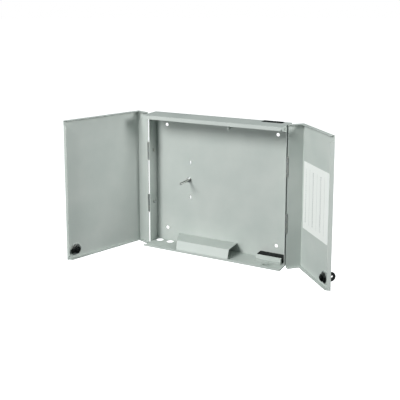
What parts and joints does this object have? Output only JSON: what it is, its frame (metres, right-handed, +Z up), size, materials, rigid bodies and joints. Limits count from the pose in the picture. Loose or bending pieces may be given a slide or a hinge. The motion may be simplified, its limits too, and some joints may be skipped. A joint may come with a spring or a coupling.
{
  "type": "fiber termination box",
  "caption": "Wall-mount steel termination box for fibre cable, with a wide and a narrow hinged door, quarter-turn latches, cable duct, splice stud and foam cable seals.",
  "frame": {"origin": "centre of the back panel's rear face, the face that lies on the wall", "axes": "+X to the box's right seen from the front, +Y into the wall, +Z up; the open front faces -Y"},
  "size_m": [0.5633, 0.2041, 0.304],
  "materials": {
    "powder_coat": "light grey powder coat, satin, fine texture",
    "zinc_plate": "bright zinc plated steel",
    "black_foam": "matt black closed-cell foam",
    "black_steel": "blackened steel",
    "black_nylon": "black moulded nylon",
    "label_paper": "white printed label, uncoated"
  },
  "bodies": {
    "housing": {"housing": "powder_coat", "cable_duct": "powder_coat", "top_lip_gusset": "powder_coat", "lower_cable_seal": "black_foam", "upper_cable_seal": "black_foam", "seal_retainer": "powder_coat", "cable_tie_anchor": "powder_coat", "splice_tray_stud": "zinc_plate", "splice_stud_washer": "zinc_plate", "splice_stud_nut": "zinc_plate", "side_tab_rivet": "zinc_plate", "left_lower_hinge_wall_leaf": "zinc_plate", "left_lower_hinge_pin": "zinc_plate", "left_lower_hinge_screw": "zinc_plate", "left_lower_hinge_nut": "zinc_plate", "left_upper_hinge_wall_leaf": "zinc_plate", "left_upper_hinge_pin": "zinc_plate", "left_upper_hinge_screw": "zinc_plate", "left_upper_hinge_nut": "zinc_plate", "right_lower_hinge_wall_leaf": "zinc_plate", "right_lower_hinge_pin": "zinc_plate", "right_lower_hinge_screw": "zinc_plate", "right_lower_hinge_nut": "zinc_plate", "right_upper_hinge_wall_leaf": "zinc_plate", "right_upper_hinge_pin": "zinc_plate", "right_upper_hinge_screw": "zinc_plate", "right_upper_hinge_nut": "zinc_plate"},
    "left_door": {"left_door": "powder_coat", "left_lower_hinge_door_leaf": "zinc_plate", "left_upper_hinge_door_leaf": "zinc_plate", "left_latch_bush": "black_nylon", "left_latch_nut": "zinc_plate"},
    "left_latch": {"left_latch_grip": "black_nylon", "left_latch_cam": "black_steel", "left_cam_screw": "black_steel"},
    "right_door": {"right_door": "powder_coat", "right_lower_hinge_door_leaf": "zinc_plate", "right_upper_hinge_door_leaf": "zinc_plate", "right_latch_bush": "black_nylon", "right_latch_nut": "zinc_plate", "port_chart_label": "label_paper"},
    "right_latch": {"right_latch_grip": "black_nylon", "right_latch_cam": "black_steel", "right_cam_screw": "black_steel"}
  },
  "joints": [
    {"name": "left_door_swing", "type": "hinge", "parent": "housing", "child": "left_door", "pos_m": [-0.1646, -0.0305, 0], "axis": [0, 0, 1], "range_deg": [-34, 111]},
    {"name": "right_door_swing", "type": "hinge", "parent": "housing", "child": "right_door", "pos_m": [0.1646, -0.0305, 0], "axis": [0, 0, 1], "range_deg": [-133.5, 11.5]},
    {"name": "left_latch_turn", "type": "hinge", "parent": "left_door", "child": "left_latch", "pos_m": [-0.26085, -0.18218, -0.132], "axis": [0.9336, -0.3584, 0], "range_deg": [0, 90]},
    {"name": "right_latch_turn", "type": "hinge", "parent": "right_door", "child": "right_latch", "pos_m": [0.26717, -0.08701, -0.132], "axis": [0.7254, 0.6884, 0], "range_deg": [0, 90]}
  ]
}
